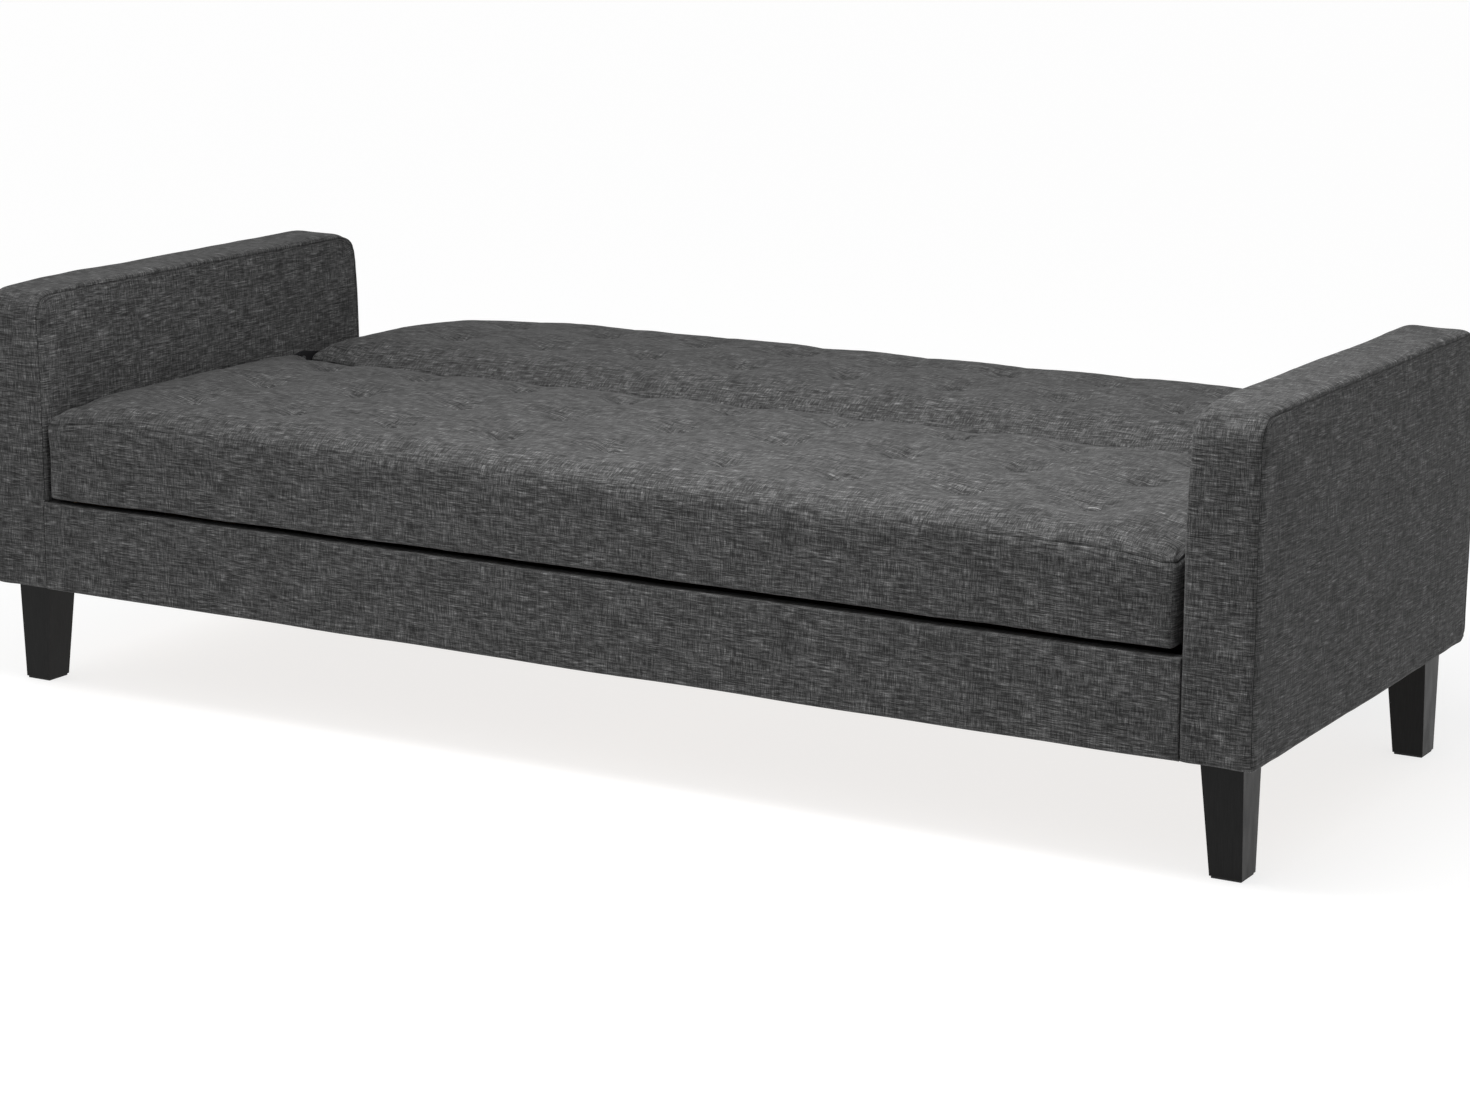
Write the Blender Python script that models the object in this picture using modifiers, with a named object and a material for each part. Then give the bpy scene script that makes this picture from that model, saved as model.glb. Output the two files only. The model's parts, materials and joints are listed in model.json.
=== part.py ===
"""A three-seat futon sofa bed, unfolded into a bed: tufted seat and backrest on click-clack
hinges, a storage box under the seat, two slab arms and four tapered legs.

Metres, +Z up, +X along the length, -Y to the front. The origin is on the floor under the
middle of the unfolded bed.
"""

from math import atan2, cos, degrees, pi, radians, sin

import bmesh
import bpy
from mathutils import Matrix, Vector

# Driving sizes.
LENGTH = 1.870
DEPTH = 1.045  # unfolded, front of the arms to the rear of the backrest
ARM_THICKNESS = 0.091
ARM_DEPTH = 0.730
ARM_TOP = 0.552
LEG_HEIGHT = 0.142
BED_TOP = 0.404  # top of both pads, level with each other
PAD_BOTTOM = 0.272
PIVOT_FROM_FRONT = 0.583
PIVOT_HEIGHT = 0.381
BOARD = 0.016
RAIL = 0.025  # thickness of the pads' and arms' wooden rails
GAP = 0.0003  # between pieces that touch
CLEARANCE = 0.0003  # round a pin or bolt in its hole

# Places worked out from them.
HALF = LENGTH / 2
FRONT = -DEPTH / 2
REAR = DEPTH / 2
ARM_REAR = FRONT + ARM_DEPTH
ARM_INNER = HALF - ARM_THICKNESS
PIVOT = Vector((0, FRONT + PIVOT_FROM_FRONT, PIVOT_HEIGHT))

# Arms: a padded cover over a wooden frame.
ARM_FRONT_RADIUS, ARM_REAR_RADIUS = 0.022, 0.038
PADDING = 0.010
POST_DEPTH = 0.060
FRAME_EASE = 0.001  # between the padding and the wooden frame, front and rear
POST_DROP = 0.037  # from the padding's underside to the posts' tops

# Box under the seat.
APRON_TOP = 0.263
APRON_DEPTH = 0.030
APRON_SETBACK = 0.0005  # behind the arms' front and rear faces
SKIN, SKIN_RETURN = 0.003, 0.024  # the aprons' fabric, and how far it turns in over the board
BOARD_SHORT = 0.004  # from each end of an apron's fabric to its board's end
SIDE_LOW, SIDE_HIGH = 0.150, 0.255
FLOOR_LOW, FLOOR_THICKNESS = 0.160, 0.004
BATTEN_LOW = 0.145
CENTRE_BATTEN = 0.040
BUFFER_WIDTH, BUFFER_INSET = 0.012, 0.0035
BUFFER_FRONT, BUFFER_LENGTH = 0.085, 0.040
BOX_FRONT = FRONT + APRON_SETBACK + APRON_DEPTH + GAP
BOX_REAR = ARM_REAR - APRON_SETBACK - APRON_DEPTH - GAP

# Legs: a square block whose inner faces taper.
LEG_TOP_WIDTH, LEG_FOOT_WIDTH = 0.054, 0.041
LEG_INSET = 0.0207  # from the arm's outer face
FRONT_LEG, REAR_LEG = 0.0523, 0.6615  # leg centres behind the front
BOLT_RADIUS = 0.004
BOLT_IN_LEG, BOLT_IN_RAIL = 0.032, 0.020
ARM_BOLT_HEIGHT = 0.212
ARM_BOLT_REACH = 0.060  # past the arm's inner face
HEAD_RADIUS, HEAD_HEIGHT = 0.008, 0.005
BOLT_OFF = 0.008  # off the posts' middles, clear of the aprons' inner faces

# Pads.
PAD_HALF = 0.835
SEAT_SETBACK = 0.001  # behind the arms' front faces
PAD_GAP = 0.012  # between the seat and the backrest, centred on the pivot
PAD_SKIRT = 0.012
FRAME_HIGH = 0.3275
CLOTH = 0.001
FOLD_RADIUS = 0.050  # the pads' facing top edges, which roll past each other as they fold
SEAT_FRONT_RADIUS, BACK_REAR_RADIUS, PAD_LOWER_RADIUS = 0.028, 0.035, 0.008

# Hinge plates stand side by side in the gap between the pads' ends and the arms.
PLATE = 0.0025
BACK_LAYER = PAD_HALF + 0.0006
SEAT_LAYER = BACK_LAYER + PLATE + GAP
BRACKET_LAYER = SEAT_LAYER + PLATE + GAP
HUB_RADIUS = 0.0125
SEAT_ARM_REACH, BACK_ARM_REACH = 0.250, 0.135  # the backrest's ends inside the sofa's arm
PIN_RADIUS = 0.005
RATCHET_ANGLE = -128  # degrees round the hub, from +Y towards +Z, where the pawl engages
NOTCH_DEPTH, NOTCH_HALF, NOTCH_OVER = 0.0040, 0.0026, 0.002  # over: past the hub's rim
PAWL_REACH = 0.024  # from the pawl's pivot to its nose
PAWL_HALF, PAWL_EYE, NOSE_GAP, NOSE_LENGTH = 0.002, 0.006, 0.0008, 0.008
STUD_RADIUS = 0.003
STUD_SINK = 0.0004  # inside the finger's near face
FOOT_HALF, BRACKET_HALF = 0.045, 0.040
FOLD_OVERLAP = 0.0002  # by which the bracket's foot and the stud stop short of a plate's face
RECLINE = 75  # degrees from the flat bed to the upright backrest

SIDES = (("left", -1), ("right", 1))


# ---------------------------------------------------------------- scene and materials


def clear_scene():
    for obj in list(bpy.data.objects):
        bpy.data.objects.remove(obj)


def new_collection(name, hidden=False):
    collection = bpy.data.collections.new(name)
    collection.hide_render = hidden
    bpy.context.scene.collection.children.link(collection)
    return collection


def principled(name, colour, roughness, metallic=0.0):
    material = bpy.data.materials.new(name)
    material.use_nodes = True
    shader = material.node_tree.nodes["Principled BSDF"]
    shader.inputs["Base Color"].default_value = (*colour, 1)
    shader.inputs["Roughness"].default_value = roughness
    shader.inputs["Metallic"].default_value = metallic
    return material


clear_scene()
PARTS = new_collection("futon_sofa_bed")
CUTTERS = new_collection("cutters", hidden=True)

FABRIC = principled("charcoal_fabric", (0.075, 0.075, 0.077), 0.95)
LINING = principled("black_lining", (0.012, 0.012, 0.013), 0.95)
PINE = principled("pine", (0.55, 0.40, 0.24), 0.65)
HARDBOARD = principled("hardboard", (0.24, 0.15, 0.09), 0.75)
BLACK_WOOD = principled("black_lacquered_wood", (0.011, 0.011, 0.011), 0.35)
STEEL = principled("zinc_plated_steel", (0.55, 0.56, 0.58), 0.35, 1.0)
BLACK_STEEL = principled("black_steel", (0.03, 0.03, 0.032), 0.45, 1.0)
RUBBER = principled("black_rubber", (0.015, 0.015, 0.015), 0.85)


def pivot_empty(name, place):
    empty = bpy.data.objects.new(name, None)
    empty.location = place
    PARTS.objects.link(empty)
    return empty


BASE = pivot_empty("base_origin", (0, 0, 0))
SEAT = pivot_empty("seat_axis", PIVOT)
BACK = pivot_empty("backrest_axis", PIVOT)


# ---------------------------------------------------------------- shape helpers


def keep(obj, name, material, parent):
    """Names a finished piece, gives it its material and hangs it on its body's empty."""
    obj.name = obj.data.name = name
    obj.data.materials.clear()
    obj.data.materials.append(material)
    obj.parent = parent
    obj.matrix_parent_inverse = Matrix.Translation(-parent.location)
    return obj


def new_object(data, collection):
    obj = bpy.data.objects.new("shape", data)
    collection.objects.link(obj)
    if collection is CUTTERS:
        obj.hide_render = True
        obj.display_type = "WIRE"
    return obj


def block(x, y, z, collection=PARTS):
    """A box over three (low, high) ranges, with its origin at its middle."""
    ranges = [sorted(pair) for pair in (x, y, z)]
    size = [high - low for low, high in ranges]
    mesh = bpy.data.meshes.new("block")
    shape = bmesh.new()
    bmesh.ops.create_cube(shape, size=1, matrix=Matrix.Diagonal((*size, 1)))
    shape.to_mesh(mesh)
    shape.free()
    obj = new_object(mesh, collection)
    obj.location = [(low + high) / 2 for low, high in ranges]
    return obj


def rod(radius, start, end, collection=PARTS, sides=24):
    """A cylinder along X or Z between two points."""
    start, end = Vector(start), Vector(end)
    mesh = bpy.data.meshes.new("rod")
    shape = bmesh.new()
    bmesh.ops.create_cone(
        shape, cap_ends=True, segments=sides, radius1=radius, radius2=radius,
        depth=(end - start).length,
    )
    shape.to_mesh(mesh)
    shape.free()
    mesh.shade_smooth()
    mesh.set_sharp_from_angle(angle=radians(40))
    obj = new_object(mesh, collection)
    obj.location = (start + end) / 2
    obj.rotation_euler = Vector((0, 0, 1)).rotation_difference(end - start).to_euler()
    return obj


def slab(loops, x, place=(0, 0), collection=PARTS):
    """Outlines in the YZ plane, the first the outer one and the rest its holes, drawn about
    place and extruded over the range x. It is a filled 2D curve made into a mesh."""
    low, high = sorted(x)
    curve = bpy.data.curves.new("slab", "CURVE")
    curve.dimensions = "2D"
    curve.fill_mode = "BOTH"
    curve.extrude = (high - low) / 2
    for loop in loops:
        spline = curve.splines.new("POLY")
        spline.points.add(len(loop) - 1)
        for point, (y, z) in zip(spline.points, loop):
            point.co = (y, z, 0, 1)
        spline.use_cyclic_u = True
    outline = new_object(curve, collection)
    outline.location = ((low + high) / 2, *place)
    outline.rotation_euler = (pi / 2, 0, pi / 2)
    bpy.context.view_layer.update()
    graph = bpy.context.evaluated_depsgraph_get()
    mesh = bpy.data.meshes.new_from_object(outline.evaluated_get(graph))
    shape = bmesh.new()
    shape.from_mesh(mesh)
    bmesh.ops.remove_doubles(shape, verts=shape.verts, dist=1e-6)
    bmesh.ops.recalc_face_normals(shape, faces=shape.faces)
    shape.to_mesh(mesh)
    shape.free()
    obj = new_object(mesh, collection)
    obj.matrix_world = outline.matrix_world
    bpy.data.objects.remove(outline)
    return obj


def boolean(obj, others, operation):
    for other in others:
        modifier = obj.modifiers.new(operation.lower(), "BOOLEAN")
        modifier.operation = operation
        modifier.object = other
        modifier.solver = "EXACT"
    return obj


def arc(centre, radius, start, end, steps):
    """Points from one angle to another, in degrees from +Y towards +Z, ends included."""
    angles = [radians(start + (end - start) * i / steps) for i in range(steps + 1)]
    return [(centre[0] + radius * cos(a), centre[1] + radius * sin(a)) for a in angles]


def circle(centre, radius, steps=24):
    return arc(centre, radius, 0, 360 - 360 / steps, steps - 1)


def rounded(y, z, front_top, rear_top, front_bottom, rear_bottom, steps=5):
    """A rectangle in the YZ plane with a radius of its own at each corner."""
    (front, rear), (low, high) = y, z
    return [
        *arc((rear - rear_top, high - rear_top), rear_top, 0, 90, steps),
        *arc((front + front_top, high - front_top), front_top, 90, 180, steps),
        *arc((front + front_bottom, low + front_bottom), front_bottom, 180, 270, steps),
        *arc((rear - rear_bottom, low + rear_bottom), rear_bottom, 270, 360, steps),
    ]


# ---------------------------------------------------------------- base: legs, arms and box


def leg(name, side, centre):
    """Outer face upright, inner face and both Y faces tapering towards the floor."""
    outer = side * (HALF - LEG_INSET)
    inner = outer - side * LEG_TOP_WIDTH
    half = LEG_TOP_WIDTH / 2
    y = FRONT + centre
    obj = block((inner, outer), (y - half, y + half), (0, LEG_HEIGHT - GAP))
    taper = LEG_TOP_WIDTH - LEG_FOOT_WIDTH
    for vertex in obj.data.vertices:
        if vertex.co.z < 0:
            if vertex.co.x * side < 0:
                vertex.co.x += side * taper
            vertex.co.y *= LEG_FOOT_WIDTH / LEG_TOP_WIDTH
    return keep(obj, name, BLACK_WOOD, BASE)


def bolt(name, start, end):
    """A turned bolt: a domed head at start and a plain shank to end."""
    start, end = Vector(start), Vector(end)
    length = (end - start).length
    profile = [
        (0, length),
        (BOLT_RADIUS, length),
        (BOLT_RADIUS, HEAD_HEIGHT),
        (HEAD_RADIUS, HEAD_HEIGHT),
        (HEAD_RADIUS, HEAD_HEIGHT * 0.4),
        (HEAD_RADIUS * 0.6, 0),
        (0, 0),
    ]
    mesh = bpy.data.meshes.new("bolt")
    edges = [(i, i + 1) for i in range(len(profile) - 1)]
    mesh.from_pydata([(x, 0, z) for x, z in profile], edges, [])
    obj = new_object(mesh, PARTS)
    screw = obj.modifiers.new("turn", "SCREW")
    screw.steps = screw.render_steps = 12
    screw.use_merge_vertices = True
    screw.merge_threshold = 1e-5
    obj.location = start
    obj.rotation_euler = Vector((0, 0, 1)).rotation_difference(end - start).to_euler()
    return keep(obj, name, STEEL, BASE)


def arms_legs_and_bolts():
    cover_y = (FRONT, ARM_REAR)
    cover_z = (LEG_HEIGHT, ARM_TOP)
    inner_y = (FRONT + PADDING, ARM_REAR - PADDING)
    frame_y = (inner_y[0] + FRAME_EASE, inner_y[1] - FRAME_EASE)
    rail_top = LEG_HEIGHT + GAP + RAIL
    post_top = ARM_TOP - PADDING - POST_DROP
    posts = {
        "front": (frame_y[0], frame_y[0] + POST_DEPTH),
        "rear": (frame_y[1] - POST_DEPTH, frame_y[1]),
    }
    for word, side in SIDES:
        outer, inner = side * HALF, side * ARM_INNER
        frame_x = (outer - side * (PADDING + 0.0005), inner + side * (PADDING + 0.0005))
        cover = slab(
            [rounded(cover_y, cover_z, ARM_FRONT_RADIUS, ARM_REAR_RADIUS, 0.004, 0.012)],
            (outer, inner),
        )
        hollow = slab(
            [
                rounded(
                    inner_y, (LEG_HEIGHT - 0.02, ARM_TOP - PADDING),
                    ARM_FRONT_RADIUS - PADDING, ARM_REAR_RADIUS - PADDING, 0.001, 0.001,
                )
            ],
            (outer - side * PADDING, inner + side * PADDING),
            collection=CUTTERS,
        )
        bottom_rail = block(frame_x, frame_y, (LEG_HEIGHT + GAP, rail_top))
        top_rail = block(
            frame_x, (frame_y[0], frame_y[1] - 0.010), (post_top + GAP, post_top + RAIL)
        )
        keep(top_rail, f"arm_{word}_top_rail", PINE, BASE)
        holes = []
        side_board = block(
            (inner - side * GAP, inner - side * (GAP + BOARD)),
            (BOX_FRONT, BOX_REAR),
            (SIDE_LOW, SIDE_HIGH),
        )
        for place, post_y in posts.items():
            post = block(frame_x, post_y, (rail_top + GAP, post_top))
            y = sum(post_y) / 2 + (BOLT_OFF if place == "front" else -BOLT_OFF)
            head = (inner - side * (2 * GAP + BOARD + HEAD_HEIGHT), y, ARM_BOLT_HEIGHT)
            tip = (inner + side * ARM_BOLT_REACH, y, ARM_BOLT_HEIGHT)
            bolt(f"arm_bolt_{place}_{word}", head, tip)
            hole = rod(
                BOLT_RADIUS + CLEARANCE, head, (tip[0] + side * GAP, y, ARM_BOLT_HEIGHT), CUTTERS
            )
            boolean(post, [hole], "DIFFERENCE")
            keep(post, f"arm_{word}_{place}_post", PINE, BASE)
            holes.append(hole)

            centre = FRONT_LEG if place == "front" else REAR_LEG
            leg_piece = leg(f"leg_{place}_{word}", side, centre)
            x, y = side * (HALF - LEG_INSET - LEG_TOP_WIDTH / 2), FRONT + centre
            low, high = LEG_HEIGHT - BOLT_IN_LEG, LEG_HEIGHT + BOLT_IN_RAIL
            leg_bolt = rod(BOLT_RADIUS, (x, y, low), (x, y, high), sides=12)
            keep(leg_bolt, f"leg_bolt_{place}_{word}", STEEL, BASE)
            socket = rod(
                BOLT_RADIUS + CLEARANCE, (x, y, low - GAP), (x, y, high + GAP), CUTTERS, 12
            )
            boolean(leg_piece, [socket], "DIFFERENCE")
            boolean(bottom_rail, [socket], "DIFFERENCE")
        boolean(cover, [hollow, *holes], "DIFFERENCE")
        boolean(side_board, holes, "DIFFERENCE")
        keep(cover, f"arm_{word}_cover", FABRIC, BASE)
        keep(bottom_rail, f"arm_{word}_bottom_rail", PINE, BASE)
        keep(side_board, f"box_side_{word}", PINE, BASE)


def apron(place, outer, inward):
    """A board with fabric pulled round its outer face and stapled behind its edges."""
    length = (-ARM_INNER + GAP, ARM_INNER - GAP)
    inner = outer + inward * APRON_DEPTH
    lip = outer + inward * SKIN_RETURN
    low, high = LEG_HEIGHT, APRON_TOP
    skin = [
        (outer, low), (lip, low), (lip, low + SKIN), (outer + inward * SKIN, low + SKIN),
        (outer + inward * SKIN, high - SKIN), (lip, high - SKIN), (lip, high), (outer, high),
    ]
    keep(slab([skin], length), f"{place}_apron_cover", FABRIC, BASE)
    board = block(
        (length[0] + BOARD_SHORT, length[1] - BOARD_SHORT),
        (outer + inward * (SKIN + GAP), inner),
        (low + SKIN + GAP, high - SKIN - GAP),
    )
    keep(board, f"{place}_apron_board", PINE, BASE)


def storage_box():
    apron("front", FRONT + APRON_SETBACK, 1)
    apron("rear", ARM_REAR - APRON_SETBACK, -1)
    half = ARM_INNER - BOARD - 3 * GAP
    front, rear = BOX_FRONT, BOX_REAR
    floor_z = (FLOOR_LOW, FLOOR_LOW + FLOOR_THICKNESS)
    keep(block((-half, half), (front, rear), floor_z), "storage_floor", HARDBOARD, BASE)
    batten_z = (BATTEN_LOW, FLOOR_LOW - GAP)
    for name, x, y in (
        ("floor_batten_front", (-half, half), (front, front + RAIL)),
        ("floor_batten_rear", (-half, half), (rear - RAIL, rear)),
        (
            "floor_batten_centre", (-CENTRE_BATTEN / 2, CENTRE_BATTEN / 2),
            (front + RAIL + GAP, rear - RAIL - GAP),
        ),
    ):
        keep(block(x, y, batten_z), name, PINE, BASE)
    for word, side in SIDES:
        buffer = block(
            (side * (ARM_INNER - BUFFER_INSET), side * (ARM_INNER - BUFFER_INSET - BUFFER_WIDTH)),
            (FRONT + BUFFER_FRONT, FRONT + BUFFER_FRONT + BUFFER_LENGTH),
            (SIDE_HIGH + GAP, PAD_BOTTOM - GAP),
        )
        keep(buffer, f"seat_buffer_{word}", RUBBER, BASE)


# ---------------------------------------------------------------- click-clack hinges


def around_hub(radius, degrees):
    return (radius * cos(radians(degrees)), radius * sin(radians(degrees)))


def crank(toward, reach):
    """A hinge arm's outline about the pivot: an eye, a cranked neck and a bar along the pad's
    frame, as far as reach towards the front (-1) or the rear (1)."""
    eye = arc((0, 0), HUB_RADIUS, 70, 290, 16)
    bar = [
        (0.045, -0.030), (0.068, -0.094), (reach - 0.010, -0.094), (reach, -0.089),
        (reach, -0.074), (reach - 0.010, -0.069), (0.090, -0.069), (0.068, -0.012),
        (0.055, 0.004),
    ]
    return [(toward * y, z) for y, z in eye + bar]


def layer(side, start):
    return (side * start, side * (start + PLATE))


def hinge_bracket(word, side, pawl_pivot):
    """An angle that stands on the box side: a foot, and a plate up to the pivot."""
    low = SIDE_HIGH + GAP - PIVOT.z
    outline = [
        (-BRACKET_HALF, low), (BRACKET_HALF, low),
        *arc((0, 0), HUB_RADIUS, -10, 190, 14),
    ]
    holes = [
        circle((0, 0), PIN_RADIUS + CLEARANCE),
        circle(pawl_pivot, STUD_RADIUS + CLEARANCE, 16),
    ]
    plate = slab([outline, *holes], layer(side, BRACKET_LAYER), PIVOT.yz)
    foot = block(
        (side * (ARM_INNER - BOARD), side * (BRACKET_LAYER + PLATE - FOLD_OVERLAP)),
        (PIVOT.y - FOOT_HALF, PIVOT.y + FOOT_HALF),
        (SIDE_HIGH + GAP / 2, SIDE_HIGH + GAP + PLATE),
        CUTTERS,
    )
    keep(boolean(plate, [foot], "UNION"), f"hinge_bracket_{word}", BLACK_STEEL, BASE)


def ratchet_pawl(word, side, pawl_pivot):
    """A finger that swings into a notch of the backrest arm's hub, on a stud of its own."""
    axis = pivot_empty(f"pawl_axis_{word}", PIVOT + Vector((0, *pawl_pivot)))
    out = Vector(around_hub(1, RATCHET_ANGLE))
    across = Vector((-out.y, out.x))
    nose = out * (HUB_RADIUS + NOSE_GAP)
    root = nose + out * NOSE_LENGTH
    pivot = Vector(pawl_pivot)
    along = root - pivot
    turn = degrees(atan2(-along.x, along.y))
    outline = [
        nose - across * PAWL_HALF, nose + across * PAWL_HALF, root + across * PAWL_HALF,
        *arc(pivot, PAWL_EYE, turn, turn - 180, 8),
        root + out * PAWL_EYE,
    ]
    finger = slab([[tuple(p) for p in outline]], layer(side, BACK_LAYER), PIVOT.yz)
    centre = PIVOT + Vector((0, *pawl_pivot))
    stud = rod(
        STUD_RADIUS,
        (side * (BACK_LAYER + STUD_SINK), *centre.yz),
        (side * (BRACKET_LAYER + PLATE - FOLD_OVERLAP), *centre.yz),
        CUTTERS,
        16,
    )
    keep(boolean(finger, [stud], "UNION"), f"ratchet_pawl_{word}", STEEL, axis)


def hinges():
    tip = Vector(around_hub(HUB_RADIUS + NOSE_GAP, RATCHET_ANGLE))
    out = tip.normalized()
    pawl_pivot = tip + Vector((-out.y, out.x)) * PAWL_REACH
    pin_hole = circle((0, 0), PIN_RADIUS + CLEARANCE)
    for word, side in SIDES:
        hinge_bracket(word, side, pawl_pivot)
        ratchet_pawl(word, side, pawl_pivot)
        seat_arm = slab([crank(-1, SEAT_ARM_REACH), pin_hole], layer(side, SEAT_LAYER), PIVOT.yz)
        keep(seat_arm, f"seat_hinge_arm_{word}", BLACK_STEEL, SEAT)
        back_arm = slab([crank(1, BACK_ARM_REACH), pin_hole], layer(side, BACK_LAYER), PIVOT.yz)
        notches = []
        for turned in (0, RECLINE):
            notch = block(
                (side * (BACK_LAYER - 0.001), side * (BACK_LAYER + PLATE + 0.001)),
                (-NOTCH_DEPTH / 2 - NOTCH_OVER, NOTCH_DEPTH / 2 + NOTCH_OVER),
                (-NOTCH_HALF, NOTCH_HALF),
                CUTTERS,
            )
            angle = radians(RATCHET_ANGLE - turned)
            reach = HUB_RADIUS + NOTCH_OVER - NOTCH_DEPTH / 2
            notch.location.yz = PIVOT.yz + Vector((cos(angle), sin(angle))) * reach
            notch.rotation_euler.x = angle
            notches.append(notch)
        boolean(back_arm, notches, "DIFFERENCE")
        keep(back_arm, f"back_hinge_arm_{word}", BLACK_STEEL, BACK)
        pin = rod(
            PIN_RADIUS,
            (side * (PAD_HALF + GAP), *PIVOT.yz),
            (side * (BRACKET_LAYER + PLATE), *PIVOT.yz),
        )
        keep(pin, f"pivot_pin_{word}", STEEL, BASE)


# ---------------------------------------------------------------- seat and backrest


def pad(word, y, radii, parent):
    """A foam pad in its fabric, hollow below for its wooden frame, and a cloth under that."""
    front, rear = y
    body = slab([rounded(y, (PAD_BOTTOM, BED_TOP), *radii)], (-PAD_HALF, PAD_HALF))
    hollow = block(
        (PAD_SKIRT - PAD_HALF, PAD_HALF - PAD_SKIRT),
        (front + PAD_SKIRT, rear - PAD_SKIRT),
        (PAD_BOTTOM - 0.010, FRAME_HIGH + GAP),
        CUTTERS,
    )
    keep(boolean(body, [hollow], "DIFFERENCE"), f"{word}_cushion", FABRIC, parent)

    half = PAD_HALF - PAD_SKIRT - 2 * GAP
    near, far = front + PAD_SKIRT + 2 * GAP, rear - PAD_SKIRT - 2 * GAP
    rail_z = (PAD_BOTTOM + CLOTH + 3 * GAP, FRAME_HIGH)
    between = (near + RAIL + GAP, far - RAIL - GAP)
    rails = {
        "front_rail": ((-half, half), (near, near + RAIL)),
        "rear_rail": ((-half, half), (far - RAIL, far)),
        "centre_rail": ((-RAIL / 2, RAIL / 2), between),
        "end_rail_left": ((-half, RAIL - half), between),
        "end_rail_right": ((half - RAIL, half), between),
    }
    for name, (rail_x, rail_y) in rails.items():
        keep(block(rail_x, rail_y, rail_z), f"{word}_{name}", PINE, parent)
    cloth_z = (rail_z[0] - GAP - CLOTH, rail_z[0] - GAP)
    cloth = block((-half, half), (near, far), cloth_z)
    keep(cloth, f"{word}_underside_cloth", LINING, parent)


arms_legs_and_bolts()
storage_box()
hinges()
pad(
    "seat", (FRONT + SEAT_SETBACK, PIVOT.y - PAD_GAP / 2),
    (SEAT_FRONT_RADIUS, FOLD_RADIUS, PAD_LOWER_RADIUS, PAD_LOWER_RADIUS), SEAT,
)
pad(
    "back", (PIVOT.y + PAD_GAP / 2, REAR),
    (FOLD_RADIUS, BACK_REAR_RADIUS, PAD_LOWER_RADIUS, PAD_LOWER_RADIUS), BACK,
)
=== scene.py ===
"""The looks of the futon sofa bed: tufted pads, upholstered arms and aprons, lacquered legs,
and the finish of every frame part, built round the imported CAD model."""

import json
from math import cos, pi, radians, sin

import bmesh
import bpy
import numpy as np
from mathutils import Matrix, Vector


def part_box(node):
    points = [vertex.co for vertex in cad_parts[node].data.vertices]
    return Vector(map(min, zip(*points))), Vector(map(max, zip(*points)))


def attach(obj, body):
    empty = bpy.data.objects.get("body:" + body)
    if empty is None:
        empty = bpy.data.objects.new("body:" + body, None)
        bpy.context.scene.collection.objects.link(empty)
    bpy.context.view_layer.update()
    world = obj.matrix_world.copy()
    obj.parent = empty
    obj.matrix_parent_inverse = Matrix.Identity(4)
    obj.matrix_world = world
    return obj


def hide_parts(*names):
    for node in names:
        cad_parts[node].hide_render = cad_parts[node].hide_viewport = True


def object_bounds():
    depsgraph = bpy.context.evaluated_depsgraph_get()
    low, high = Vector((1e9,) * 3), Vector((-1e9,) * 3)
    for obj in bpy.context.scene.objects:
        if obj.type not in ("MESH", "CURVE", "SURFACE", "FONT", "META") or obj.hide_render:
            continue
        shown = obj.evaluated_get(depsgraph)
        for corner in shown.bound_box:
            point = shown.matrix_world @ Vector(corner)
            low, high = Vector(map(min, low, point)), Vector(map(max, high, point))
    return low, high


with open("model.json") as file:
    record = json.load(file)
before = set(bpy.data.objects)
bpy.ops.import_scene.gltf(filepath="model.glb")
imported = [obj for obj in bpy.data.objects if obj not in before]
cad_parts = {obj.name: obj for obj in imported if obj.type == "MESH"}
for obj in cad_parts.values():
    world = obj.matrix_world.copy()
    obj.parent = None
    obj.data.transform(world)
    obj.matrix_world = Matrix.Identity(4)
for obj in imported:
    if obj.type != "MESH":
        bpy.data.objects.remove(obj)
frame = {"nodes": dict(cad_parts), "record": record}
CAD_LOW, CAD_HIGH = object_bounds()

MM = 0.001
SIDES = (("left", -1), ("right", 1))

# ---------------------------------------------------------------- camera, lights and floor


def camera():
    """At the photograph's angle: from the right, a little above the pads."""
    yaw, pitch, roll = 0.5284, 0.2206, 0.0026
    data = bpy.data.cameras.new("camera")
    data.sensor_width, data.lens = 36, 86.84
    data.clip_end = 60
    view = bpy.data.objects.new("camera", data)
    turn = Matrix.Rotation(yaw, 4, "Z") @ Matrix.Rotation(pi / 2 - pitch, 4, "X")
    place = Matrix.Translation((2.3766, -4.1559, 1.2658))
    view.matrix_world = place @ turn @ Matrix.Rotation(roll, 4, "Z")
    bpy.context.scene.collection.objects.link(view)
    bpy.context.scene.camera = view


def area_light(name, place, aim, size, power):
    data = bpy.data.lights.new(name, "AREA")
    data.shape = "RECTANGLE"
    data.size, data.size_y = size
    data.energy = power
    light = bpy.data.objects.new(name, data)
    light.location = place
    light.rotation_euler = (Vector(aim) - Vector(place)).to_track_quat("-Z", "Y").to_euler()
    bpy.context.scene.collection.objects.link(light)


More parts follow.
